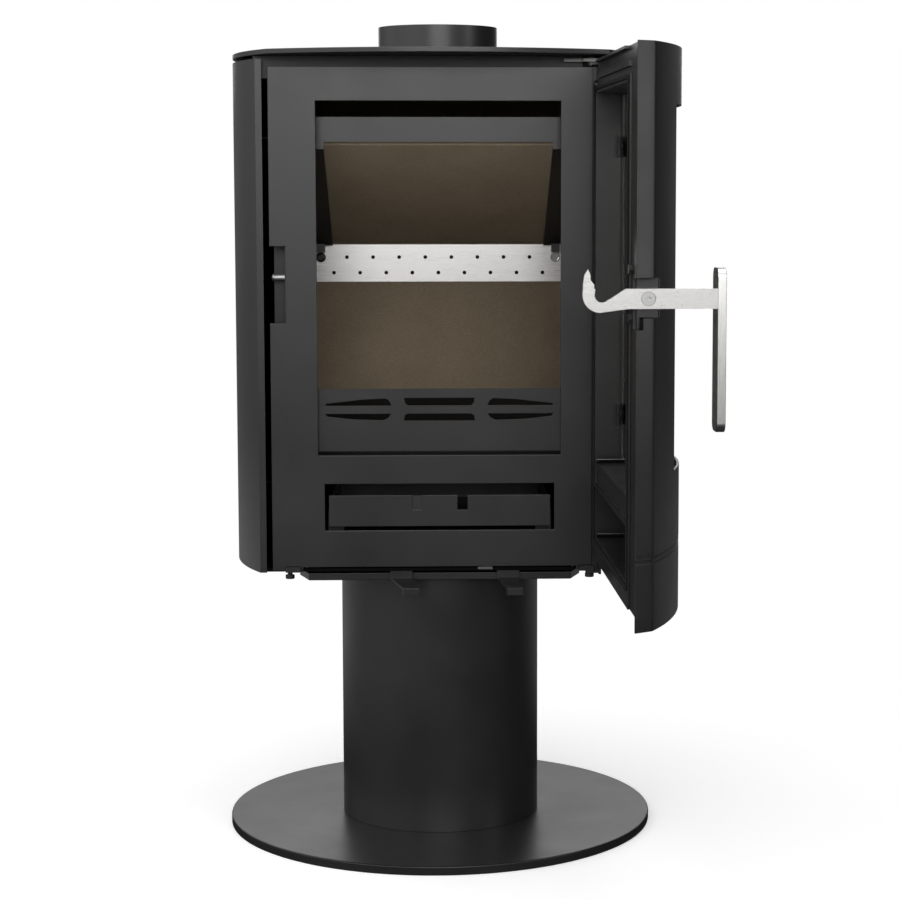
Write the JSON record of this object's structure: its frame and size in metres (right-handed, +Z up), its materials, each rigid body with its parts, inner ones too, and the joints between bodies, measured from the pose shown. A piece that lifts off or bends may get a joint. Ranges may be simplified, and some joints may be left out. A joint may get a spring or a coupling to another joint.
{
  "type": "wood stove",
  "caption": "Steel wood stove with bowed sides and front on a round column, side-hung curved glass door, lift latch, ash drawer and sliding air levers.",
  "frame": {"origin": "centre of the floor plate's underside", "axes": "+Z up along the column, -Y towards the user, +X to the user's right"},
  "size_m": [0.5673, 0.813, 1.0082],
  "materials": {
    "painted_steel": "matt heat-resistant anthracite paint",
    "dark_steel": "matt black steel",
    "stainless": "brushed stainless steel",
    "bright_fastener": "bright zinc or chrome",
    "vermiculite": "pressed vermiculite board, tan with fine flakes",
    "sealing_rope": "woven glass-fibre seal",
    "cast_iron": "raw cast iron",
    "stove_glass": "curved heat-resistant ceramic glass"
  },
  "bodies": {
    "stove_body": {"base_plate": "painted_steel", "pedestal_column": "painted_steel", "column_bolts": "dark_steel", "support_plate": "painted_steel", "body_spacers": "dark_steel", "firebox_bottom": "painted_steel", "firebox_left": "painted_steel", "firebox_right": "painted_steel", "firebox_back": "painted_steel", "firebox_top": "painted_steel", "front_plate": "painted_steel", "top_rail": "dark_steel", "top_plate": "painted_steel", "top_spacers": "dark_steel", "flue_collar": "painted_steel", "collar_bolts": "dark_steel", "side_panel_left": "painted_steel", "side_panel_right": "painted_steel", "back_panel": "painted_steel", "back_screws": "dark_steel", "panel_brackets": "dark_steel", "latch_keeper": "painted_steel", "latch_pin": "bright_fastener", "hinge_bracket_upper": "bright_fastener", "hinge_bracket_lower": "dark_steel", "hinge_pins": "dark_steel", "brick_left": "vermiculite", "brick_right": "vermiculite", "brick_back": "vermiculite", "brick_floor": "vermiculite", "grate": "cast_iron", "ash_shelf": "painted_steel", "floor_plate": "painted_steel", "drawer_runners": "dark_steel", "lever_guides": "dark_steel", "baffle_frame": "dark_steel", "baffle_board": "vermiculite", "upper_baffle": "dark_steel", "air_strip": "stainless", "strip_bolts": "dark_steel", "log_guard": "painted_steel"},
    "door": {"door_frame": "painted_steel", "door_skin": "painted_steel", "door_apron": "painted_steel", "door_glass": "stove_glass", "glass_gasket": "sealing_rope", "door_gasket": "sealing_rope", "glass_clips": "dark_steel", "clip_screws": "bright_fastener", "hinge_strap_upper": "painted_steel", "hinge_strap_lower": "painted_steel", "strap_screws": "bright_fastener", "latch_bracket": "painted_steel", "latch_bolts": "bright_fastener", "pivot_screw": "bright_fastener"},
    "latch_handle": {"latch_arm": "stainless", "grip_bar": "stainless"},
    "ash_drawer_body": {"ash_drawer": "painted_steel"},
    "primary_air": {"primary_air_lever": "painted_steel"},
    "secondary_air": {"secondary_air_lever": "painted_steel"}
  },
  "joints": [
    {"name": "door_hinge", "type": "hinge", "parent": "stove_body", "child": "door", "pos_m": [0.182, -0.148, 0.65], "axis": [0, 0, 1], "range_deg": [-92, 10]},
    {"name": "latch_lift", "type": "hinge", "parent": "door", "child": "latch_handle", "pos_m": [0.21675, -0.52702, 0.6944], "axis": [0.0349, -0.9994, 0], "range_deg": [0, 30]},
    {"name": "ash_drawer_slide", "type": "slide", "parent": "stove_body", "child": "ash_drawer_body", "axis": [0, -1, 0], "range_m": [0, 0.22]},
    {"name": "primary_air_slide", "type": "slide", "parent": "stove_body", "child": "primary_air", "axis": [0, -1, 0], "range_m": [0, 0.04]},
    {"name": "secondary_air_slide", "type": "slide", "parent": "stove_body", "child": "secondary_air", "axis": [0, -1, 0], "range_m": [0, 0.04]}
  ]
}
